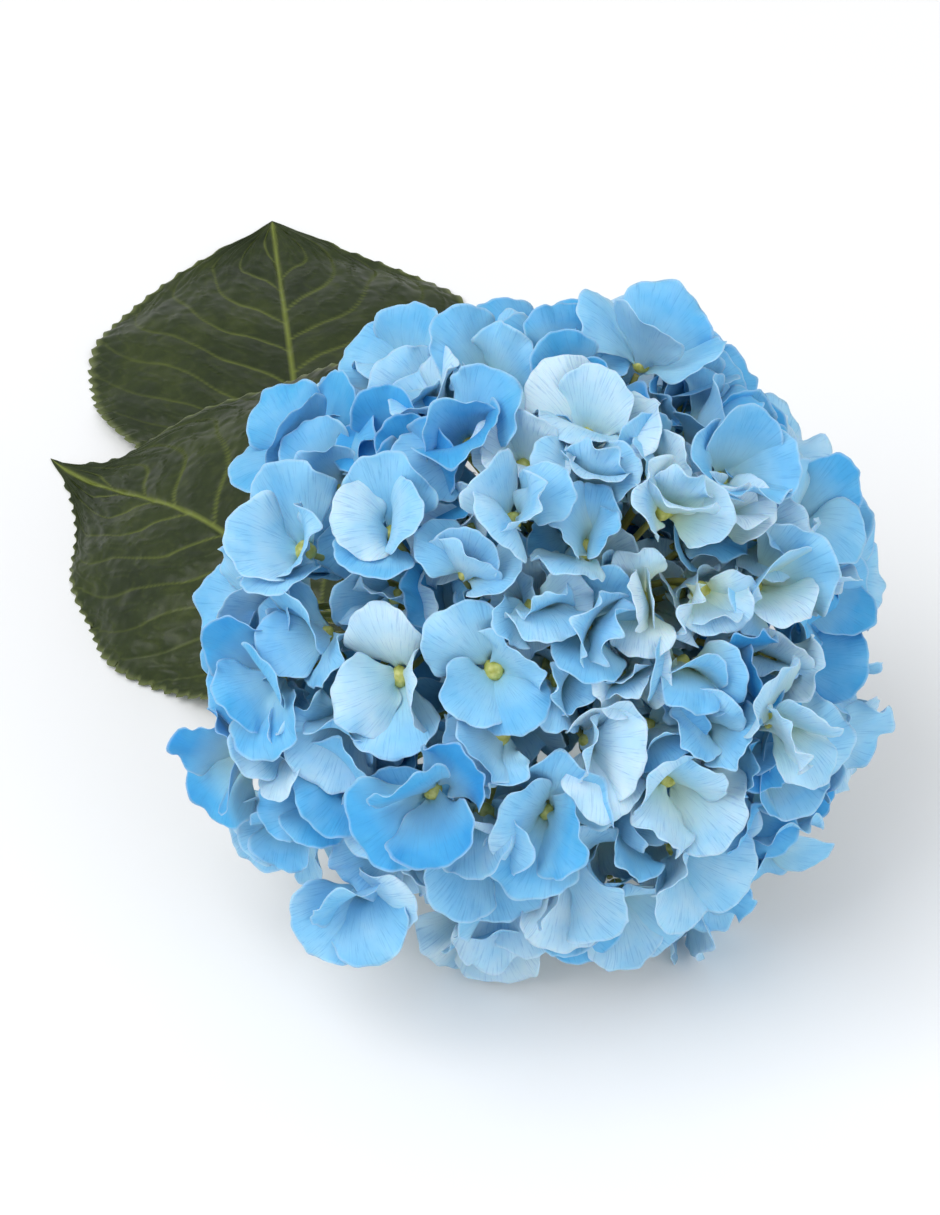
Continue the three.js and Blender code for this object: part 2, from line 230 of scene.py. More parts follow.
def run_nodes(piece, tree, values):
    """Runs a geometry node tree on a piece with its named inputs, and keeps the result as a plain mesh."""
    modifier = piece.modifiers.new("shape", "NODES")
    modifier.node_group = tree
    for item in tree.interface.items_tree:
        if item.item_type == "SOCKET" and item.in_out == "INPUT" and item.name in values:
            modifier[item.identifier] = values[item.name]
    bpy.context.view_layer.update()
    evaluated = piece.evaluated_get(bpy.context.evaluated_depsgraph_get())
    mesh = bpy.data.meshes.new_from_object(evaluated)
    piece.modifiers.clear()
    old = piece.data
    piece.data = mesh
    bpy.data.meshes.remove(old)
    mesh.name = piece.name
    mesh.polygons.foreach_set("use_smooth", np.ones(len(mesh.polygons), bool))
    return piece


def new_tree(name, inputs):
    """A geometry node tree with a geometry input and output and the named inputs after it."""
    tree = bpy.data.node_groups.new(name, "GeometryNodeTree")
    tree.interface.new_socket("Geometry", in_out="INPUT", socket_type="NodeSocketGeometry")
    for label, kind in inputs.items():
        tree.interface.new_socket(label, in_out="INPUT", socket_type=f"NodeSocket{kind}")
    tree.interface.new_socket("Geometry", in_out="OUTPUT", socket_type="NodeSocketGeometry")
    return tree, add_node(tree, "NodeGroupInput").outputs


def end_tree(tree, geometry, material):
    """Makes a tree's instances real, gives them their material and ends the tree."""
    whole = add_node(tree, "GeometryNodeRealizeInstances", links={"Geometry": geometry})
    finish = add_node(tree, "GeometryNodeSetMaterial",
                      links={"Geometry": whole.outputs[0], "Material": material})
    add_node(tree, "NodeGroupOutput", links={"Geometry": finish.outputs[0]})


PORE_SPACING = 0.0045
PORE_SIZE = 0.0006
PORE_SEED = 4
# Pores keep this many rings of the stem's skin away from its cut and from the crown's knob.
PORELESS_AT_CUT = 8
PORELESS_AT_CROWN = 14

pore_tree, given = new_tree("pores", {"Seed": "Int", "Spacing": "Float", "Size": "Float",
                                      "Material": "Material"})
spots = add_node(pore_tree, "GeometryNodeDistributePointsOnFaces",
                 {"distribute_method": "POISSON", "Density Max": 60000},
                 {"Mesh": given["Geometry"], "Distance Min": given["Spacing"], "Seed": given["Seed"]})
pore = add_node(pore_tree, "GeometryNodeMeshUVSphere", {"Segments": 8, "Rings": 5, "Radius": 1.0})
size = add_node(pore_tree, "ShaderNodeCombineXYZ", {"X": 0.5, "Y": 1.0, "Z": 0.35})
scaled = add_node(pore_tree, "ShaderNodeVectorMath", {"operation": "SCALE"},
                  {0: size.outputs[0], "Scale": given["Size"]})
placed = add_node(pore_tree, "GeometryNodeInstanceOnPoints", links={
    "Points": spots.outputs["Points"], "Instance": pore.outputs["Mesh"],
    "Rotation": spots.outputs["Rotation"], "Scale": scaled.outputs[0]})
end_tree(pore_tree, placed.outputs[0], given["Material"])

# Cork: dry, light brown and matt.
cork, tree, shader = new_material("pore_cork", 0.85)
place = add_node(tree, "ShaderNodeTexCoord")
grain = add_node(tree, "ShaderNodeTexNoise", {"Scale": 2500.0}, {"Vector": place.outputs["Object"]})
browns = add_node(tree, "ShaderNodeValToRGB", {"stops": [(0.35, "#8a7a52"), (0.65, "#b5a67a")]},
                  {"Fac": grain.outputs["Fac"]})
tree.links.new(browns.outputs["Color"], shader.inputs["Base Color"])

pored_skin = stem_points[PORELESS_AT_CUT:-PORELESS_AT_CROWN]
pores = new_piece("stem_pores", pored_skin.reshape(-1, 3), skin_faces(len(pored_skin), STEM_SIDES), [cork])
run_nodes(pores, pore_tree,
          {"Seed": PORE_SEED, "Spacing": PORE_SPACING, "Size": PORE_SIZE, "Material": cork})
pore_corners = np.array([vertex.co for vertex in pores.data.vertices])
pore_corners[:, 2] = np.maximum(pore_corners[:, 2], 0)
pores.data.vertices.foreach_set("co", pore_corners.ravel())
stand_for(pores, "stem_green")


# ---- The leaves --------------------------------------------------------------------------------------
# Two broad, toothed leaves: dark green and quilted between sunken veins, with a paler midrib and a short
# drawn-out tip. Each is one piece with its petiole, which joins the stem at a node.

LEAF_ALONG = 240
LEAF_ACROSS = 151
PETIOLE_ALONG = 24
TEETH = 36
TOOTH_DEPTH = 0.0012
TOOTH_PEAK = 0.75
MARGIN_START = 0.86
VEIN_PAIRS = 8
VEIN_WIDTH = 0.032
RUNGS_ACROSS = 8
RUNG_WIDTH = 0.07
MIDRIB_HALF_WIDTH = 0.0008
MIDRIB_LINE = 0.00055
MIDRIB_HEIGHT = 0.0011
VEIN_HEIGHT = 0.0003
QUILT_HEIGHT = 0.0011
RUFFLE_HEIGHT = 0.0012
BLADE_THICKNESS = 0.0005
TIP_LENGTH = 0.008
TIP_START = 0.93


def cubic(places, values, wanted):
    """Smooth interpolation of rows of values along increasing places."""
    slopes = np.gradient(values, places, axis=0)
    index = np.clip(np.searchsorted(places, wanted) - 1, 0, len(places) - 2)
    width = (places[index + 1] - places[index]).reshape((-1,) + (1,) * (values.ndim - 1))
    share = ((wanted - places[index]) / (places[index + 1] - places[index])).reshape(width.shape)
    square, cube = share ** 2, share ** 3
    return ((2 * cube - 3 * square + 1) * values[index] + (cube - 2 * square + share) * width * slopes[index]
            + (3 * square - 2 * cube) * values[index + 1] + (cube - square) * width * slopes[index + 1])


def leaf_surface(node):
    """The middle surface of a leaf's solid as rows across it, with each row's half thickness."""
    rings = layers(node)
    spread = [np.ptp(ring, axis=0).max() if len(ring) > 1 else 0 for ring in rings]
    if sum(spread[:4]) > sum(spread[-4:]):
        rings.reverse()
    rows = []
    halves = []
    for index in range(1, len(rings) - 1):
        ring = rings[index]
        way = unit(rings[index + 1].mean(0) - rings[index - 1].mean(0))
        level = unit(np.cross([0, 0, 1], way))
        flat = unit(np.linalg.svd(ring - ring.mean(0))[2][0]) if index > 4 else level
        flat = flat * np.sign(flat @ level)
        ring = ring[np.argsort((ring - ring.mean(0)) @ flat)]
        rows.append(np.concatenate([ring[:1], (ring[1:10:2] + ring[2:11:2]) / 2, ring[11:]]))
        halves.append(np.linalg.norm(ring[5] - ring[6]) / 2)
    rows.append(np.repeat(rings[-1], 7, axis=0))
    halves.append(halves[-1])
    return np.array(rows), np.array(halves)


def build_leaf(name, node, materials, seed):
    """One closed leaf with its petiole, laid over a CAD leaf's middle surface."""
    chance = np.random.default_rng(seed)
    rows, halves = leaf_surface(node)
    middle = rows[:, 3]
    runs = np.concatenate([[0], np.cumsum(np.linalg.norm(np.diff(middle, axis=0), axis=1))])
    row_places = runs / runs[-1]
    widths = np.linalg.norm(rows[:, 0] - rows[:, -1], axis=1)
    blade_start = row_places[int(np.argmax(widths > 3 * widths[0])) - 1]
    along = np.concatenate([np.linspace(0, blade_start, PETIOLE_ALONG, endpoint=False),
                            np.linspace(blade_start, 1, LEAF_ALONG)])
    across = np.sin(np.linspace(-1, 1, LEAF_ACROSS) * math.pi / 2)
    columns = np.array([-1, -math.sqrt(0.75), -0.5, 0, 0.5, math.sqrt(0.75), 1])
    blade = np.clip((along - blade_start) / (1 - blade_start), 0, 1)[:, None]
    side = np.abs(across)[None]
    # Each tooth leans forwards: the margin is read a little further along the leaf where it stands out.
    tooth_place = (blade * TEETH + 0.15 * np.sin(9 * blade + seed)) % 1
    tooth = smoothstep(0, TOOTH_PEAK, tooth_place) * (1 - smoothstep(TOOTH_PEAK, 1, tooth_place))
    at_margin = smoothstep(MARGIN_START, 1, side)
    sampled = cubic(row_places, rows, along)
    drawn_out = TIP_LENGTH * np.clip((blade[:, 0] - TIP_START) / (1 - TIP_START), 0, 1) ** 3
    sampled = sampled + drawn_out[:, None, None] * unit(rows[-1, 3] - rows[-2, 3])
    surface = np.moveaxis(cubic(columns, np.moveaxis(sampled, 1, 0), across), 0, 1)
    half_width = np.linalg.norm(sampled[:, 0] - sampled[:, -1], axis=1)[:, None] / 2
    outwards = unit(sampled[:, -1] - sampled[:, 0])[:, None] * np.sign(across)[None, :, None]
    onwards = unit(np.gradient(sampled[:, 3], along, axis=0))[:, None]
    toothed = smoothstep(0.03, 0.12, blade) * (1 - 0.6 * smoothstep(0.94, 1, blade))
    stand_out = (at_margin * toothed * (tooth - 0.5) * TOOTH_DEPTH)[..., None]
    surface = surface + stand_out * outwards + 0.9 * np.abs(stand_out) * onwards
    # Side veins leave the midrib in pairs and arch forwards to the margin; finer ones cross between them.
    wobble = 0.01 * np.sin(14 * side + 3 * np.sign(across)) + 0.008 * np.sin(23 * blade + 2 * seed)
    vein_place = (blade - 0.24 * side - 0.10 * side ** 2 + wobble) * VEIN_PAIRS * 1.15 + 0.35
    vein_place = vein_place + 0.18 * np.sign(across)[None]
    from_vein = np.abs(vein_place - np.round(vein_place))
    vein = np.exp(-(from_vein / VEIN_WIDTH) ** 2) * (1 - 0.5 * side ** 2)
    from_midrib = side * np.maximum(half_width, 0.002)
    midrib = np.exp(-(from_midrib / MIDRIB_HALF_WIDTH) ** 2)
    midrib_line = np.exp(-(from_midrib / MIDRIB_LINE) ** 2)
    rung_place = side * RUNGS_ACROSS + 0.5 * np.sin(vein_place * 2 * math.pi) + 1.7 * np.round(vein_place)
    rung_place = rung_place + 0.25 * np.sin(17 * side + 29 * blade)
    from_rung = np.abs(rung_place - np.round(rung_place))
    rung = np.exp(-(from_rung / RUNG_WIDTH) ** 2) * smoothstep(0.05, 0.15, side)
    pillow = np.sqrt(np.clip(from_vein * 2, 0, 1)) * (0.6 + 0.4 * np.sqrt(np.clip(from_rung * 2, 0, 1)))
    lumps = 0.12 * np.sin(31 * across[None] + 19 * blade + chance.uniform(0, 6))
    on_blade = smoothstep(0.01, 0.1, blade) * np.clip(half_width / 0.01, 0, 1)
    relief = on_blade * (1 - at_margin) * QUILT_HEIGHT * (pillow + lumps - 0.9 * midrib - 0.5)
    ruffle_wave = np.sin(8 * math.pi * blade + np.sign(across)[None] + seed)
    ruffle = RUFFLE_HEIGHT * side ** 3 * ruffle_wave * on_blade
    normal = unit(np.cross(np.gradient(surface, axis=1), np.gradient(surface, axis=0)))
    if normal[..., 2].mean() < 0:
        normal = -normal
    petiole_half = cubic(row_places, halves[:, None], along)
    round_edge = np.sqrt(np.clip(1 - side ** 2, 0.0004, 1))
    rib = MIDRIB_HEIGHT * midrib * (1 - 0.75 * blade) + VEIN_HEIGHT * vein * (1 - side)
    thickness = BLADE_THICKNESS / 2 * (0.4 + 0.6 * round_edge)
    merge = smoothstep(0, 0.06, blade)
    upper = (1 - merge) * petiole_half * round_edge + merge * thickness
    lower = (1 - merge) * petiole_half * round_edge + merge * (thickness + rib)
    centre = surface + (relief + ruffle)[..., None] * normal
    top = centre + upper[..., None] * normal
    bottom = centre - lower[..., None] * normal
    top[..., 2] = np.maximum(top[..., 2], 0.0004)
    bottom[..., 2] = np.maximum(bottom[..., 2], 0)
    rows_count, columns_count = along.size, across.size
    points = np.concatenate([top.reshape(-1, 3), bottom.reshape(-1, 3)])
    grid = np.arange(rows_count * columns_count).reshape(rows_count, columns_count)
    quads = np.stack([grid[:-1, :-1], grid[:-1, 1:], grid[1:, 1:], grid[1:, :-1]], -1).reshape(-1, 4)
    edge = np.concatenate([grid[0, :], grid[1:, -1], grid[-1, -2::-1], grid[-2:0:-1, 0]])
    under = rows_count * columns_count
    following = np.roll(edge, -1)
    rim = np.stack([edge, edge + under, following + under, following], 1)
    faces = np.concatenate([quads, quads[:, ::-1] + under, rim])
    flat_shade = np.ones_like(blade) * np.ones_like(side)
    pale_lines = np.maximum(0.6 * vein * (1 - 0.6 * side), midrib_line) + 0.08 * rung
    values = {
        "vein": np.clip(pale_lines, 0, 1) * flat_shade,
        "margin": smoothstep(0.955, 1, side) * flat_shade * smoothstep(0.02, 0.1, blade),
        "petiole": (1 - smoothstep(0.0, 0.1, blade)) * flat_shade,
    }
    attributes = {label: np.tile(value.ravel(), 2) for label, value in values.items()}
    attributes["under"] = np.repeat([0.0, 1.0], under)
    uv = np.tile(np.stack([(side * np.sign(across)[None] * half_width + 0.06) / 0.12,
                           blade * flat_shade], -1).reshape(-1, 2), (2, 1))
    piece = new_piece(name, points, faces, materials, attributes=attributes, uv=uv)
    flip_if_inside_out(piece)
    return piece


def flip_if_inside_out(piece):
    """Turns every face of a closed mesh round if its enclosed volume comes out negative."""
    mesh = piece.data
    mesh.calc_loop_triangles()
    corners = np.array([vertex.co for vertex in mesh.vertices])
    index = np.zeros(len(mesh.loop_triangles) * 3, np.int32)
    mesh.loop_triangles.foreach_get("vertices", index)
    a, b, c = corners[index.reshape(-1, 3)].transpose(1, 0, 2)
    if np.einsum("ij,ij->i", a, np.cross(b, c)).sum() < 0:
        mesh.flip_normals()


# Hydrangea leaf: thick dark green tissue with a half-matt cuticle. The veins are paler and yellower, the
# tissue between them is mottled, the margin has a thin light edge and the underside is paler.
leaf_tissue, tree, shader = new_material("leaf_tissue", 0.4, Subsurface_Weight=0.04)
shader.inputs["Subsurface Radius"].default_value = (0.0006, 0.0012, 0.0004)
shader.inputs["Specular IOR Level"].default_value = 0.3
place = add_node(tree, "ShaderNodeTexCoord")
mottle = add_node(tree, "ShaderNodeTexNoise", {"Scale": 70.0, "Detail": 6.0, "Roughness": 0.65},
                  {"Vector": place.outputs["Object"]})
green = add_node(tree, "ShaderNodeValToRGB",
                 {"stops": [(0.3, "#1b270a"), (0.5, "#26320f"), (0.72, "#364115")]},
                 {"Fac": mottle.outputs["Fac"]})
colour = green.outputs["Color"]
for label, strength, tint in (("vein", 0.75, "#84903f"), ("margin", 0.55, "#7c8552"),
                              ("petiole", 1.0, "#79854a"), ("under", 0.6, "#7f9163")):
    shown = add_node(tree, "ShaderNodeAttribute", {"attribute_name": label})
    share = add_node(tree, "ShaderNodeMath", {"operation": "MULTIPLY", 1: strength},
                     {0: shown.outputs["Fac"]})
    tinted = add_node(tree, "ShaderNodeMix", {"data_type": "RGBA", MIX_SECOND: tint},
                      {MIX_SHARE: share.outputs[0], MIX_FIRST: colour})
    colour = tinted.outputs[MIX_RESULT]
tree.links.new(colour, shader.inputs["Base Color"])
cells = add_node(tree, "ShaderNodeTexVoronoi", {"Scale": 300.0, "feature": "SMOOTH_F1"},
                 {"Vector": place.outputs["Object"]})
bump = add_node(tree, "ShaderNodeBump", {"Strength": 0.6, "Distance": 0.0009, "invert": True},
                {"Height": cells.outputs["Distance"]})
tree.links.new(bump.outputs["Normal"], shader.inputs["Normal"])

for seed, node in ((1, "leaf_front"), (2, "leaf_back")):
    leaf = build_leaf(f"{node}_blade", node, [leaf_tissue], seed)
    stand_for(leaf, "leaf_green", node)


# ---- Where the florets sit ---------------------------------------------------------------------------
# A mophead packs far more florets than it has room for. The larger ones stand on the frame's own seats,
# and younger ones fill the gaps between three of them, a little deeper in the head.

CLOSEST_SEATS = 0.0136
WIDEST_GAP = 0.044
# Each level of young florets: its depth below the seats, and how far round the head it reaches, as the
# least cosine of the angle to the middle of the face.
DEPTHS = ((0.002, -1), (0.015, 0.15), (0.027, 0.45), (0.038, 0.55), (0.048, 0.50))
SEAT_SHARE = 0.39
DRAWN_IN = 0.93
LOW_SEAT = 0.010
HIGH_SEAT = 0.030
LEAF_SIDE_PRESSED = 0.08
FAR_RIGHT = (0.7, 0.5, 0.5)
FAR_RIGHT_PRESSED = 0.13
NEAR_FOOT = (0.0, -0.9, -0.4)
NEAR_FOOT_PRESSED = 0.07
UNEVEN = 0.0030
STRAY = 0.009
STRAY_SHARE = 0.15
YOUNG_RIGHT = 0.028
YOUNG_UP = 0.008
YOUNG_SPREAD = 0.030
CROWDED = 0.30
YOUNG_TILT = 0.25
TILT = 0.16
YOUNG_CUP = 0.1
CENTRE_CUP = 0.40
OWN_REACH = 1.03
YOUNG_REACH = 0.87
CENTRE_SMALLER = 0.08

chance = np.random.default_rng(11)
floret_nodes = sorted(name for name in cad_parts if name.startswith("floret_"))
seats, axes, cups, reaches = [], [], [], []
for node in floret_nodes:
    rings = layers(node)
    if len(rings[1]) and np.linalg.norm(rings[0][0] - crown) > np.linalg.norm(rings[-1][0] - crown):
        rings.reverse()
    calyx, rim, top = rings[2].mean(0), rings[3], rings[-1][0]
    axis = unit(top - calyx)
    seat = calyx + SEAT_SHARE * (top - calyx)
    rise = (rim - seat) @ axis
    reach = np.linalg.norm(rim - seat, axis=1)
    seats.append(seat)
    axes.append(axis)
    cups.append(np.median(np.arcsin(np.clip(rise / reach, -1, 1))))
    reaches.append(reach.max())
seats, axes = np.array(seats), np.array(axes)
proud = UNEVEN * chance.normal(size=len(seats)).clip(-1.5, 2)
proud += STRAY * (chance.random(len(seats)) < STRAY_SHARE)
leaf_corners = [corner for node in ("leaf_front", "leaf_back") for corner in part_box(node)]
leaf_side = unit(np.array(leaf_corners).mean(0) - crown)
# The head isn't quite round: it is flatter towards the leaves, at its far right and at its near foot.
pressed_sides = ((leaf_side, LEAF_SIDE_PRESSED), (unit(np.array(FAR_RIGHT)), FAR_RIGHT_PRESSED),
                 (unit(np.array(NEAR_FOOT)), NEAR_FOOT_PRESSED))
pressed_in = np.ones(len(seats))
for side, share in pressed_sides:
    pressed_in -= share * np.clip(unit(seats - crown) @ side, 0, 1) ** 2
drawn_in = 1 - (1 - DRAWN_IN) * smoothstep(LOW_SEAT, HIGH_SEAT, seats[:, 2])
seats = (crown + (drawn_in * pressed_in)[:, None] * (seats - crown)
         + proud[:, None] * unit(seats - crown))
cups, reaches = np.array(cups), np.array(reaches)
own_count = len(seats)

# Every three seats that are near each other have a gap between them, where younger florets can stand.
between = np.linalg.norm(seats[:, None] - seats[None], axis=-1)
gaps = []
for a in range(own_count):
    for b in range(a + 1, own_count):
        if between[a, b] > WIDEST_GAP:
            continue
        for c in range(b + 1, own_count):
            if max(between[a, c], between[b, c]) < WIDEST_GAP:
                gaps.append((a, b, c))
gaps = np.array(gaps)
gap_ways = unit(seats[gaps].mean(1) - crown)
gap_reach = np.linalg.norm(seats[gaps] - crown, axis=-1).mean(1)
face_way = unit(seats[0] - crown)
right_way = unit(np.cross([0, 0, 1], face_way))
young_middle = seats[0] + YOUNG_RIGHT * right_way + YOUNG_UP * np.cross(face_way, right_way)


def how_young(places):
    """How close to 1 the florets at some places are to the part of the head that opened last."""
    return np.exp(-(np.linalg.norm(places - young_middle, axis=1) / YOUNG_SPREAD) ** 2)


levels = [(depth, gap_ways @ face_way > least) for depth, least in DEPTHS]
gap_seats = np.concatenate([(crown + gap_ways * (gap_reach - depth)[:, None])[kept]
                            for depth, kept in levels])
gaps = np.concatenate([gaps[kept] for _, kept in levels])
# The roomiest gap gets the next young floret, until none has room. The youngest florets stand closer.
crowding = 1 - CROWDED * how_young(gap_seats)
taken = seats.copy()
chosen = []
while True:
    room = np.linalg.norm(gap_seats[:, None] - taken[None], axis=-1).min(1) / crowding
    best = int(np.argmax(room))
    if room[best] < CLOSEST_SEATS:
        break
    chosen.append(best)
    taken = np.concatenate([taken, gap_seats[best:best + 1]])
extra_axes = unit(axes[gaps[chosen]].mean(1) + YOUNG_TILT * chance.normal(size=(len(chosen), 3)))
all_seats = taken
all_axes = unit(np.concatenate([axes, extra_axes]) + TILT * chance.normal(size=(len(taken), 3)))
young = how_young(all_seats)
all_cups = np.concatenate([cups, cups[gaps[chosen]].mean(1) + YOUNG_CUP]) + CENTRE_CUP * young
all_reaches = np.concatenate([OWN_REACH * reaches, YOUNG_REACH * reaches[gaps[chosen]].mean(1)])
all_reaches = all_reaches * (1 - CENTRE_SMALLER * young)
floret_count = len(all_seats)


# ---- The branches and pedicels -----------------------------------------------------------------------
# Yellow-green, hairless branches fork from the crown's knob and fork again into one thin pedicel for each
# floret. They grew in one with the stem; each main branch is shown as one piece with all its pedicels.

NEAR_CROWN = 0.0085
BRANCH_START = 0.005
FORK_DISTANCE = 0.020
BRANCH_THICKNESS = 0.0021
PEDICEL_THICKNESS = 0.0008
PEDICEL_TOP = 0.0016
PATH_POINTS = 9
TUBE_SIDES = 8


def bend(start, start_way, end, end_way, count):
    """Points on a smooth curve that leaves and arrives along the given ways."""
    share = np.linspace(0, 1, count)[:, None]
    square, cube = share ** 2, share ** 3
    pull = np.linalg.norm(end - start)
    return ((2 * cube - 3 * square + 1) * start + (cube - 2 * square + share) * pull * start_way
            + (3 * square - 2 * cube) * end + (cube - square) * pull * end_way)


branch_tree, given = new_tree("branches", {"Sides": "Int", "Material": "Material"})
paths = add_node(branch_tree, "GeometryNodeMeshToCurve", links={"Mesh": given["Geometry"]})
thick = add_node(branch_tree, "GeometryNodeInputNamedAttribute",
                 {"data_type": "FLOAT", "Name": "thickness"})
ring = add_node(branch_tree, "GeometryNodeCurvePrimitiveCircle", {"Radius": 1.0},
                {"Resolution": given["Sides"]})
sized = add_node(branch_tree, "GeometryNodeSetCurveRadius",
                 links={"Curve": paths.outputs[0], "Radius": thick.outputs["Attribute"]})
tube = add_node(branch_tree, "GeometryNodeCurveToMesh", {"Fill Caps": True}, {
    "Curve": sized.outputs[0], "Profile Curve": ring.outputs["Curve"], "Scale": thick.outputs["Attribute"]})
end_tree(branch_tree, tube.outputs[0], given["Material"])

# Young green bark: yellow-green, slightly waxy and a little uneven.
branch_bark, tree, shader = new_material("young_branch_bark", 0.5, Subsurface_Weight=0.15)
shader.inputs["Subsurface Radius"].default_value = (0.001, 0.001, 0.0004)
place = add_node(tree, "ShaderNodeTexCoord")
tint = add_node(tree, "ShaderNodeTexNoise", {"Scale": 120.0, "Detail": 3.0},
                {"Vector": place.outputs["Object"]})
bark = add_node(tree, "ShaderNodeValToRGB",
                {"stops": [(0.3, "#8f8a3c"), (0.55, "#aaa451"), (0.75, "#b9b873")]},
                {"Fac": tint.outputs["Fac"]})
tree.links.new(bark.outputs["Color"], shader.inputs["Base Color"])

branch_nodes = sorted(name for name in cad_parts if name.startswith("branch_"))
branch_ways = []
for node in branch_nodes:
    corners = np.array([vertex.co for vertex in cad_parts[node].data.vertices])
    near = corners[np.linalg.norm(corners - crown, axis=1) < NEAR_CROWN]
    branch_ways.append(unit(near.mean(0) - crown))
branch_ways = np.array(branch_ways)
spokes = unit(all_seats - crown)
nearest_branch = np.argmax(spokes @ branch_ways.T, axis=1)
for index, node in enumerate(branch_nodes):
    way = branch_ways[index]
    fork = crown + FORK_DISTANCE * way
    trunk = bend(crown + BRANCH_START * way, way, fork, way, PATH_POINTS)
    lines = [(trunk, BRANCH_THICKNESS, 0.8 * BRANCH_THICKNESS)]
    for floret in np.flatnonzero(nearest_branch == index):
        sway = 0.25 * chance.normal(size=3)
        pedicel_top = all_seats[floret] - PEDICEL_TOP * all_axes[floret]
        path = bend(fork - 0.001 * way, unit(0.6 * way + spokes[floret]), pedicel_top,
                    unit(all_axes[floret] + spokes[floret] + 0.3 * sway), 3 * PATH_POINTS)
        lines.append((path, 1.5 * PEDICEL_THICKNESS, PEDICEL_THICKNESS))
    points = np.concatenate([line for line, _, _ in lines])
    thickness = np.concatenate([np.linspace(first, last, len(line)) for line, first, last in lines])
    starts = np.concatenate([[0], np.cumsum([len(line) for line, _, _ in lines])])
    edges = [(i, i + 1) for a, b in zip(starts[:-1], starts[1:]) for i in range(a, b - 1)]
    mesh = bpy.data.meshes.new(f"{node}_forks")
    mesh.from_pydata(points.tolist(), edges, [])
    attribute = mesh.attributes.new("thickness", "FLOAT", "POINT")
    attribute.data.foreach_set("value", thickness.astype(np.float32))
    mesh.materials.append(branch_bark)
    branch = bpy.data.objects.new(f"{node}_forks", mesh)
    bpy.context.scene.collection.objects.link(branch)
    run_nodes(branch, branch_tree, {"Sides": TUBE_SIDES, "Material": branch_bark})
    stand_for(branch, "branch_green", node)


# ---- How the sepals open -----------------------------------------------------------------------------
# Each floret has two pairs of crossed sepals. They open from closed buds while the whole head swells, push
# on each other and stop where they meet, so that every sepal bends to its neighbours as real ones do.

SEPAL_GRID = 9
APART = 0.0021
APART_IN_FLORET = 0.0013
LOOK_AHEAD = 0.0012
BUD_ROOM = 0.0030
BUD_MIDDLE = 0.0018
OPENING_STEPS = 110
PUSHES_PER_STEP = 3
MODEL_PULL = 0.2
BEND_KEPT = 0.92
CLAW = 0.26
LONGEST_SEPAL = 0.0235
LENGTH_VARIES = 0.07
WIDTH_VARIES = 0.09
CUP_VARIES = 0.24
UPPER_PAIR_CUP = 0.20
CURL = 0.65
CURL_VARIES = 0.45
DISH = 0.03
DISH_VARIES = 0.12
TURN_VARIES = 0.12
WAVE_HEIGHT = 0.0009
LOWEST = 0.0002
PEDICEL_STEP = 0.003
PEDICEL_STEPS = 6

# Each sepal gets its own size, cup, curl and wavy margin, as they vary on a real head.
sepal_count = 4 * floret_count
floret_of = np.repeat(np.arange(floret_count), 4)
turn_of = np.tile(np.arange(4), floret_count)
upper_pair = (turn_of % 2 == 0).astype(float)
first_way = unit(np.cross(all_axes, unit(chance.normal(size=(floret_count, 3)))))
second_way = np.cross(all_axes, first_way)
turn = turn_of * math.pi / 2 + TURN_VARIES * chance.normal(size=sepal_count)
out_way = np.cos(turn)[:, None] * first_way[floret_of] + np.sin(turn)[:, None] * second_way[floret_of]
axis_way = all_axes[floret_of]
side_way = np.cross(axis_way, out_way)
length = all_reaches[floret_of] * (1 + LENGTH_VARIES * chance.normal(size=sepal_count).clip(-2, 2))
length = np.minimum(length, LONGEST_SEPAL)
width = length * (1 + WIDTH_VARIES * chance.normal(size=sepal_count).clip(-2, 2))
cup = all_cups[floret_of] + CUP_VARIES * chance.normal(size=sepal_count).clip(-2, 2)
cup += UPPER_PAIR_CUP * (2 * upper_pair - 1)
curl = CURL + CURL_VARIES * chance.normal(size=sepal_count).clip(-2, 2)
dish = DISH + DISH_VARIES * chance.normal(size=sepal_count).clip(-2, 2)
waves = chance.integers(2, 5, size=sepal_count)
wave_height = WAVE_HEIGHT * (1 + 0.5 * chance.normal(size=sepal_count).clip(-1.5, 2))
phases = chance.uniform(0, 2 * math.pi, size=(4, sepal_count))
sepal_base = (all_seats[floret_of] + (0.0016 - 0.0008 * upper_pair)[:, None] * out_way
              + 0.0006 * (upper_pair - 0.5)[:, None] * axis_way)


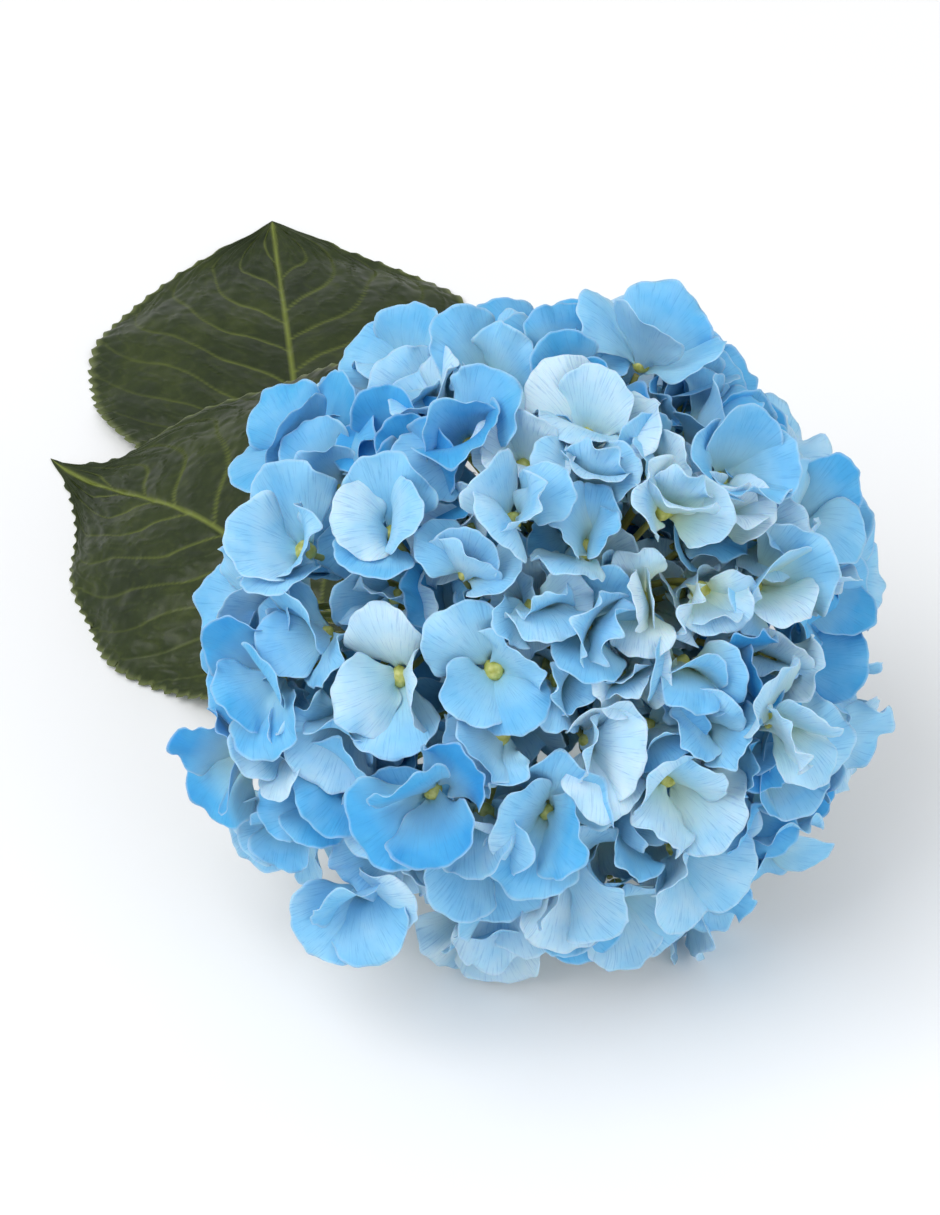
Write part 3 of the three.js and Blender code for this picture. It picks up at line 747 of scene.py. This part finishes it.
def spread_sepals(grid, grown):
    """Every sepal's middle surface on a square grid of places, at a share of its growth."""
    def each(values):
        return np.asarray(values)[:, None, None]
    places = np.linspace(-1, 1, grid)
    along, across = np.meshgrid(places, places, indexing="ij")
    x = across * np.sqrt(1 - along ** 2 / 2)
    y = along * np.sqrt(1 - across ** 2 / 2)
    round_it = np.arctan2(x, -y)
    edge = np.sqrt(x ** 2 + y ** 2)
    outline = 1 + edge ** 2 * (0.045 * np.sin(each(waves) * round_it + each(phases[0]))
                               + 0.020 * np.sin(9 * round_it + each(phases[1]))
                               + 0.010 * np.sin(17 * round_it + each(phases[2])))
    taper = CLAW + (1 - CLAW) * smoothstep(-1, 0.2, y)
    sideways = each(width) / 2 * (0.3 + 0.7 * grown) * x * taper * outline
    reach = each(length) * (0.35 + 0.65 * grown)
    share = (y * outline + 1) / 2
    closed = 1.35 + 0.3 * upper_pair
    start_slope = each((1 - grown) * closed + grown * (cup + curl / 2))
    end_slope = each((1 - grown) * (closed + 0.2) + grown * (cup - curl / 2))
    change = end_slope - start_slope
    change = np.where(np.abs(change) < 0.01, 0.01, change)
    slope = start_slope + change * share
    outwards = reach * (np.sin(slope) - np.sin(start_slope)) / change
    upwards = reach * (np.cos(start_slope) - np.cos(slope)) / change
    wave = each(wave_height) * edge ** 4 * (np.sin((each(waves) + 2) * round_it + each(phases[2]))
                                            + 0.5 * np.sin(7 * round_it + each(phases[3])))
    wave = wave + each(wave_height) * 0.3 * edge ** 6 * np.sin(13 * round_it + each(phases[1]))
    raised = 2 * each(dish) * sideways ** 2 / each(width / 2) + grown * wave
    out_part = outwards - raised * np.sin(slope)
    up_part = upwards + raised * np.cos(slope)
    return (sepal_base[:, None, None] + out_part[..., None] * out_way[:, None, None]
            + up_part[..., None] * axis_way[:, None, None] + sideways[..., None] * side_way[:, None, None])


def best_turn(model, shape):
    """The rotation about each sepal's base that brings its model nearest to its present shape."""
    from_base = (model - sepal_base[:, None, None]).reshape(len(model), -1, 3)
    to_base = (shape - sepal_base[:, None, None]).reshape(len(model), -1, 3)
    left, _, right = np.linalg.svd(np.einsum("sik,sil->skl", from_base, to_base))
    flip = np.sign(np.linalg.det(left @ right))
    left[:, :, 2] *= flip[:, None]
    return left @ right


def close_pairs(points, limit):
    """All pairs of points nearer to each other than a limit, by sorting them into boxes."""
    boxes = np.floor(points / limit).astype(np.int64)
    boxes -= boxes.min(0) - 1
    span = boxes.max(0) + 2
    keys = (boxes[:, 0] * span[1] + boxes[:, 1]) * span[2] + boxes[:, 2]
    order = np.argsort(keys, kind="stable")
    sorted_keys = keys[order]
    found = []
    steps = [(i, j, k) for i in (-1, 0, 1) for j in (-1, 0, 1) for k in (-1, 0, 1) if (i, j, k) >= (0, 0, 0)]
    for i, j, k in steps:
        wanted = keys + (i * span[1] + j) * span[2] + k
        low = np.searchsorted(sorted_keys, wanted, "left")
        high = np.searchsorted(sorted_keys, wanted, "right")
        counts = high - low
        first = np.repeat(np.arange(len(points)), counts)
        offsets = np.arange(counts.sum()) - np.repeat(np.cumsum(counts) - counts, counts)
        second = order[np.repeat(low, counts) + offsets]
        if (i, j, k) == (0, 0, 0):
            keep = first < second
            first, second = first[keep], second[keep]
        near = np.linalg.norm(points[first] - points[second], axis=1) < limit
        found.append(np.stack([first[near], second[near]]))
    return np.concatenate(found, axis=1)


def smooth_over(values):
    """Averages each grid point's value with its neighbours'."""
    padded = np.pad(values, ((0, 0), (1, 1), (1, 1), (0, 0)), mode="edge")
    middle = padded[:, 1:-1, 1:-1]
    around = padded[:, :-2, 1:-1] + padded[:, 2:, 1:-1] + padded[:, 1:-1, :-2] + padded[:, 1:-1, 2:]
    return 0.5 * middle + 0.125 * around


def push_apart(points, pairs, apart, still):
    """Moves points that are too close half the missing distance each; the still ones stay."""
    first, second = pairs
    across = points[first] - points[second]
    distance = np.maximum(np.linalg.norm(across, axis=1), 1e-6)
    missing = apart - distance
    touching = missing > 0
    first, second = first[touching], second[touching]
    shift = across[touching] * (missing[touching] / distance[touching])[:, None]
    share_first = np.where(still[second], 1.0, 0.5) * ~still[first]
    share_second = np.where(still[first], 1.0, 0.5) * ~still[second]
    total = len(points)
    contacts = np.bincount(first, minlength=total) + np.bincount(second, minlength=total)
    move = np.stack([np.bincount(first, share_first * shift[:, axis], total)
                     - np.bincount(second, share_second * shift[:, axis], total) for axis in range(3)], 1)
    return points + move / np.maximum(1, 0.6 * contacts)[:, None]


# The pedicels' tops and the buds stay still while the sepals open round them.
still_steps = np.arange(1, PEDICEL_STEPS + 1) * PEDICEL_STEP
still_points = all_seats[:, None] - still_steps[:, None] * unit(all_axes + spokes)[:, None]
still_points = still_points.reshape(-1, 3)
still_points = np.concatenate([still_points, all_seats + BUD_MIDDLE * all_axes])
still_floret = np.concatenate([np.repeat(np.arange(floret_count), PEDICEL_STEPS), np.arange(floret_count)])
per_sepal = SEPAL_GRID ** 2
moving = sepal_count * per_sepal
owner = np.concatenate([np.repeat(floret_of, per_sepal), still_floret])
sepal_owner = np.concatenate([np.repeat(np.arange(sepal_count), per_sepal),
                              -1 - np.arange(len(still_points))])
near_base = np.tile(np.repeat(np.arange(SEPAL_GRID) < 3, SEPAL_GRID), sepal_count)
near_base = np.concatenate([near_base, np.ones(len(still_points), bool)])
is_still = np.concatenate([np.zeros(moving, bool), np.ones(len(still_points), bool)])
is_bud = np.arange(len(is_still)) >= len(is_still) - floret_count

# Each step opens the sepals a little more, draws them towards their own shape and pushes them apart.
shape = spread_sepals(SEPAL_GRID, 0.0)
for step in range(OPENING_STEPS):
    grown = min(1.0, step / (0.8 * OPENING_STEPS))
    model = spread_sepals(SEPAL_GRID, grown)
    rotation = best_turn(model, shape)
    arms = model - sepal_base[:, None, None]
    turned = sepal_base[:, None, None] + np.einsum("sijk,skl->sijl", arms, rotation)
    goal = (1 - MODEL_PULL) * turned + MODEL_PULL * model
    shape = goal + BEND_KEPT * smooth_over(shape - goal)
    points = np.concatenate([shape.reshape(-1, 3), still_points])
    if step % 4 == 0:
        pairs = close_pairs(points, APART + LOOK_AHEAD)
        same_sepal = sepal_owner[pairs[0]] == sepal_owner[pairs[1]]
        same_floret = owner[pairs[0]] == owner[pairs[1]]
        at_base = same_floret & near_base[pairs[0]] & near_base[pairs[1]]
        pairs = pairs[:, ~same_sepal & ~at_base & ~(is_still[pairs[0]] & is_still[pairs[1]])]
        apart = np.where(owner[pairs[0]] == owner[pairs[1]], APART_IN_FLORET, APART)
        apart = np.where(is_bud[pairs[0]] | is_bud[pairs[1]], BUD_ROOM, apart)
    for _ in range(PUSHES_PER_STEP):
        points = push_apart(points, pairs, apart, is_still)
        points[:moving, 2] = np.maximum(points[:moving, 2], LOWEST)
    shape = points[:moving].reshape(shape.shape)


# ---- The florets -------------------------------------------------------------------------------------
# What looks like a blue flower is four coloured sepals round a closed, bead-like bud. The sepals are about
# 0.4 mm thick, finely veined, with a soft wavy margin, and grow out of the pedicel's top.

FINE_GRID = 21
SEPAL_THICKNESS = 0.00042
BUD_RADIUS = 0.0024
BUD_SIDES = 16
BUD_ROWS = 9
BUD_BOTTOM = -1.35
BUD_TOP = 1.5
FLORETS_PER_PIECE = 22

# The sepals' coarse bends are carried over to a finer grid, which gets its thickness along its normals.
model = spread_sepals(SEPAL_GRID, 1.0)
rotation = best_turn(model, shape)
arms = model - sepal_base[:, None, None]
bent = smooth_over(shape - sepal_base[:, None, None] - np.einsum("sijk,skl->sijl", arms, rotation))
fine_model = spread_sepals(FINE_GRID, 1.0) - sepal_base[:, None, None]
fine = sepal_base[:, None, None] + np.einsum("sijk,skl->sijl", fine_model, rotation)
coarse_places = np.linspace(-1, 1, SEPAL_GRID)
fine_places = np.linspace(-1, 1, FINE_GRID)
bent = cubic(coarse_places, np.moveaxis(bent, 1, 0), fine_places)
bent = np.moveaxis(cubic(coarse_places, np.moveaxis(bent, 2, 0), fine_places), (0, 1), (2, 1))
fine = fine + bent
fine[..., 2] = np.maximum(fine[..., 2], LOWEST)
normal = unit(np.cross(np.gradient(fine, axis=2), np.gradient(fine, axis=1)))
inwards = np.sign((normal * axis_way[:, None, None]).sum(-1).mean((1, 2)))
normal = normal * inwards[:, None, None, None]

along, across = np.meshgrid(fine_places, fine_places, indexing="ij")
disc_x = across * np.sqrt(1 - along ** 2 / 2)
disc_y = along * np.sqrt(1 - across ** 2 / 2)
disc_edge = np.sqrt(disc_x ** 2 + disc_y ** 2)
fan = np.arctan2(disc_x * (CLAW + (1 - CLAW) * smoothstep(-1, 0.2, disc_y)), disc_y + 1.15)
half = SEPAL_THICKNESS / 2 * (1 - 0.7 * smoothstep(0.7, 1, disc_edge))
top_points = fine + half[..., None] * normal
low_points = fine - half[..., None] * normal
low_points[..., 2] = np.maximum(low_points[..., 2], 0.0001)

grid = np.arange(FINE_GRID ** 2).reshape(FINE_GRID, FINE_GRID)
quads = np.stack([grid[:-1, :-1], grid[:-1, 1:], grid[1:, 1:], grid[1:, :-1]], -1).reshape(-1, 4)
edge_line = np.concatenate([grid[0, :], grid[1:, -1], grid[-1, -2::-1], grid[-2:0:-1, 0]])
after = np.roll(edge_line, -1)
grid_size = FINE_GRID ** 2
rim_faces = np.stack([edge_line, edge_line + grid_size, after + grid_size, after], 1)
sepal_faces = np.concatenate([quads, quads[:, ::-1] + grid_size, rim_faces])

# The bud: a bead of four lobes that meet in a cross, sunk a little into the sepals' claws.
bud_angles = np.linspace(0, 2 * math.pi, BUD_SIDES, endpoint=False)
bud_heights = np.linspace(BUD_BOTTOM, BUD_TOP, BUD_ROWS)
bud_lobes = 1 + 0.10 * np.cos(4 * bud_angles)[None] * np.cos(bud_heights)[:, None]
bud_out = np.cos(bud_heights)[:, None] * bud_lobes * np.cos(bud_angles)[None]
bud_over = np.cos(bud_heights)[:, None] * bud_lobes * np.sin(bud_angles)[None]
bud_up = np.sin(bud_heights)[:, None] * (1 - 0.05 * np.cos(4 * bud_angles)[None]) + 0.75
bud_faces = skin_faces(BUD_ROWS, BUD_SIDES).tolist()
bud_faces.append(list(range(BUD_SIDES))[::-1])
bud_faces.append([(BUD_ROWS - 1) * BUD_SIDES + side for side in range(BUD_SIDES)])

# Hydrangea sepal: thin, soft tissue full of blue sap. Light passes through it, so its shadows stay blue.
# Fine darker veins fan out from the claw and the claw is greenish white. The thin margin has a painted
# highlight: it is lightened in the colour where its rim catches the light.
sepal_tissue, tree, shader = new_material("sepal_tissue", 0.62, Subsurface_Weight=0.4)
shader.inputs["Subsurface Radius"].default_value = (0.0004, 0.0008, 0.0012)
shader.inputs["Specular IOR Level"].default_value = 0.25
place = add_node(tree, "ShaderNodeTexCoord")
read = {label: add_node(tree, "ShaderNodeAttribute", {"attribute_name": label}).outputs["Fac"]
        for label in ("tone", "warmth", "reach", "edge", "under")}
blotch = add_node(tree, "ShaderNodeTexNoise", {"Scale": 95.0, "Detail": 3.0},
                  {"Vector": place.outputs["Object"]})
uneven = add_node(tree, "ShaderNodeMath", {"operation": "MULTIPLY_ADD", 1: 0.5}, {0: blotch.outputs["Fac"]})
tree.links.new(read["tone"], uneven.inputs[2])
blues = add_node(tree, "ShaderNodeValToRGB",
                 {"stops": [(0.10, "#cde5f1"), (0.40, "#92cdee"), (0.70, "#50aee2"), (1.0, "#258ccf")]},
                 {"Fac": uneven.outputs[0]})
pattern = add_node(tree, "ShaderNodeUVMap", {"uv_map": "UVMap"})
fan_lines = add_node(tree, "ShaderNodeTexNoise", {"Scale": 1.0, "Detail": 4.0, "Roughness": 0.6})
stretch = add_node(tree, "ShaderNodeMapping", {"Scale": (46.0, 3.2, 1.0)}, {"Vector": pattern.outputs["UV"]})
tree.links.new(stretch.outputs["Vector"], fan_lines.inputs["Vector"])
thin = add_node(tree, "ShaderNodeMapRange", {"From Min": 0.53, "From Max": 0.66, "To Max": 0.34},
                {"Value": fan_lines.outputs["Fac"]})
claw = add_node(tree, "ShaderNodeMapRange", {"From Min": 0.75, "From Max": 0.06}, {"Value": read["reach"]})
claw_share = add_node(tree, "ShaderNodeMath", {"operation": "MULTIPLY"},
                      {0: claw.outputs["Result"], 1: read["warmth"]})
# Painted highlight: the outermost margin is mixed towards a pale blue, standing in for the light its thin
# rim catches.
painted_rim_highlight = add_node(tree, "ShaderNodeMapRange", {"From Min": 0.94, "From Max": 1.0, "To Max": 0.4},
                      {"Value": read["edge"]})
back_share = add_node(tree, "ShaderNodeMath", {"operation": "MULTIPLY", 1: 0.22}, {0: read["under"]})
colour = blues.outputs["Color"]
for share, tint in ((thin.outputs["Result"], "#3486c4"), (claw_share.outputs[0], "#d2e0bd"),
                    (painted_rim_highlight.outputs["Result"], "#cfe6f8"), (back_share.outputs[0], "#bfe0f4")):
    tinted = add_node(tree, "ShaderNodeMix", {"data_type": "RGBA", MIX_SECOND: tint},
                      {MIX_SHARE: share, MIX_FIRST: colour})
    colour = tinted.outputs[MIX_RESULT]
tree.links.new(colour, shader.inputs["Base Color"])
bump = add_node(tree, "ShaderNodeBump", {"Strength": 0.35, "Distance": 0.0003},
                {"Height": fan_lines.outputs["Fac"]})
tree.links.new(bump.outputs["Normal"], shader.inputs["Normal"])

# The bud's skin: yellow-green, smooth and a little shiny.
bud_skin, tree, shader = new_material("bud_skin", 0.38, Subsurface_Weight=0.2)
shader.inputs["Subsurface Radius"].default_value = (0.001, 0.001, 0.0003)
place = add_node(tree, "ShaderNodeTexCoord")
tint = add_node(tree, "ShaderNodeTexNoise", {"Scale": 600.0}, {"Vector": place.outputs["Object"]})
greens = add_node(tree, "ShaderNodeValToRGB", {"stops": [(0.35, "#a9aa49"), (0.65, "#cfce7c")]},
                  {"Fac": tint.outputs["Fac"]})
tree.links.new(greens.outputs["Color"], shader.inputs["Base Color"])

# The florets that opened last are still paler and greener. Those towards the leaves, on the side the key
# lamp lights, get a paler tone as painted light.
TONE = 0.20
YOUNG_PALER = 0.10
LEAF_SIDE_PAINTED_LIGHT = 0.12
TONE_VARIES = 0.18
SEPAL_TONE_VARIES = 0.07
GREENISH = 0.35
YOUNG_GREENER = 0.75
towards_leaves = np.clip(spokes @ leaf_side, 0, 1)
# Painted light: the tone is lowered (paler) towards the leaves, the lit side of the head.
floret_tone = TONE - YOUNG_PALER * young - LEAF_SIDE_PAINTED_LIGHT * towards_leaves
floret_tone = np.clip(floret_tone + TONE_VARIES * chance.normal(size=floret_count), -0.08, 0.66)
floret_warmth = GREENISH + YOUNG_GREENER * young + 0.2 * chance.normal(size=floret_count)
floret_warmth = np.clip(floret_warmth, 0.1, 1.4)
sepal_tone = floret_tone[floret_of] + SEPAL_TONE_VARIES * chance.normal(size=sepal_count)


def floret_mesh(florets):
    """Points, faces and attributes of some florets' sepals and buds, joined."""
    points, faces, slots, uvs = [], [], [], []
    values = {label: [] for label in ("tone", "warmth", "reach", "edge", "under")}
    start = 0
    for floret in florets:
        for sepal in np.flatnonzero(floret_of == floret):
            count = FINE_GRID ** 2
            points += [top_points[sepal].reshape(-1, 3), low_points[sepal].reshape(-1, 3)]
            faces.append(sepal_faces + start)
            slots.append(np.zeros(len(sepal_faces), int))
            uvs.append(np.tile(np.stack([fan.ravel() + sepal * 0.37, (disc_y.ravel() + 1) / 2], 1), (2, 1)))
            values["tone"].append(np.full(2 * count, sepal_tone[sepal]))
            values["warmth"].append(np.full(2 * count, floret_warmth[floret]))
            values["reach"].append(np.tile((disc_y.ravel() + 1) / 2, 2))
            values["edge"].append(np.tile(disc_edge.ravel(), 2))
            values["under"].append(np.repeat([0.0, 1.0], count))
            start += 2 * count
        size = BUD_RADIUS * (0.85 + 0.3 * ((floret * 0.618) % 1))
        bud = all_seats[floret] + size * (
            bud_out[..., None] * first_way[floret] + bud_over[..., None] * second_way[floret]
            + bud_up[..., None] * all_axes[floret])
        points.append(bud.reshape(-1, 3))
        faces += [[corner + start for corner in face] for face in bud_faces]
        slots.append(np.ones(len(bud_faces), int))
        uvs.append(np.zeros((bud_up.size, 2)))
        for label in values:
            values[label].append(np.zeros(bud_up.size))
        start += bud_up.size
    flat_faces = []
    for item in faces:
        flat_faces += item.tolist() if isinstance(item, np.ndarray) else [item]
    joined = {label: np.concatenate(parts) for label, parts in values.items()}
    return np.concatenate(points), flat_faces, np.concatenate(slots), joined, np.concatenate(uvs)


def add_florets(name, florets):
    """One piece of one or more florets, in the sepals' and the buds' materials."""
    points, faces, slots, values, uv = floret_mesh(florets)
    return new_piece(name, points, faces, [sepal_tissue, bud_skin], slots, values, uv)


for index, node in enumerate(floret_nodes):
    stand_for(add_florets(f"{node}_sepals", [index]), "sepal_blue", node)
fillers = np.arange(own_count, floret_count)
for index, group in enumerate(np.array_split(fillers, math.ceil(len(fillers) / FLORETS_PER_PIECE))):
    stand_for(add_florets(f"young_florets_{index + 1}", group), "sepal_blue")


# ---- The surface, the light and the camera -----------------------------------------------------------
# A plain pale table, large soft lamps from the upper left and from the front, and a camera that looks
# down on the face of the head from the height of its own tilt.

CAMERA_LENS = 200
CAMERA_DISTANCE = 1.66
CAMERA_ELEVATION = math.radians(45)
AIM_LEFT = 0.015
AIM_UP = 0.006

floor_mesh = bpy.data.meshes.new("table")
floor_mesh.from_pydata([(-4, -4, 0), (4, -4, 0), (4, 4, 0), (-4, 4, 0)], [], [(0, 1, 2, 3)])
floor = bpy.data.objects.new("table", floor_mesh)
bpy.context.scene.collection.objects.link(floor)
paint, tree, shader = new_material("matt_white_paint", 0.9)
shader.inputs["Base Color"].default_value = linear("#f8f8f8")
floor_mesh.materials.append(paint)


def add_lamp(name, place, power, size, target):
    """A square soft lamp that points at a target."""
    lamp = bpy.data.lights.new(name, "AREA")
    lamp.energy = power
    lamp.size = size
    body = bpy.data.objects.new(name, lamp)
    body.location = place
    body.rotation_euler = (Vector(target) - Vector(place)).to_track_quat("-Z", "Y").to_euler()
    bpy.context.scene.collection.objects.link(body)


head_middle = (all_seats.min(0) + all_seats.max(0)) / 2
add_lamp("key_lamp", (-1.0, -0.6, 1.9), 26, 1.7, head_middle)
add_lamp("fill_lamp", (1.2, -1.4, 1.0), 8, 1.6, head_middle)

world = bpy.data.worlds.new("studio")
bpy.context.scene.world = world
world.use_nodes = True
world.node_tree.nodes["Background"].inputs["Color"].default_value = linear("#f6f8fb")
world.node_tree.nodes["Background"].inputs["Strength"].default_value = 0.74

camera_data = bpy.data.cameras.new("camera")
camera_data.lens = CAMERA_LENS
camera = bpy.data.objects.new("camera", camera_data)
bpy.context.scene.collection.objects.link(camera)
towards_camera = Vector((0, -math.cos(CAMERA_ELEVATION), math.sin(CAMERA_ELEVATION)))
picture_up = Vector((0, math.sin(CAMERA_ELEVATION), math.cos(CAMERA_ELEVATION)))
aim = Vector(head_middle) + AIM_LEFT * Vector((-1, 0, 0)) + AIM_UP * picture_up
camera.location = aim + CAMERA_DISTANCE * towards_camera
camera.rotation_euler = (-towards_camera).to_track_quat("-Z", "Y").to_euler()
bpy.context.scene.camera = camera
bpy.context.scene.view_settings.view_transform = "Standard"
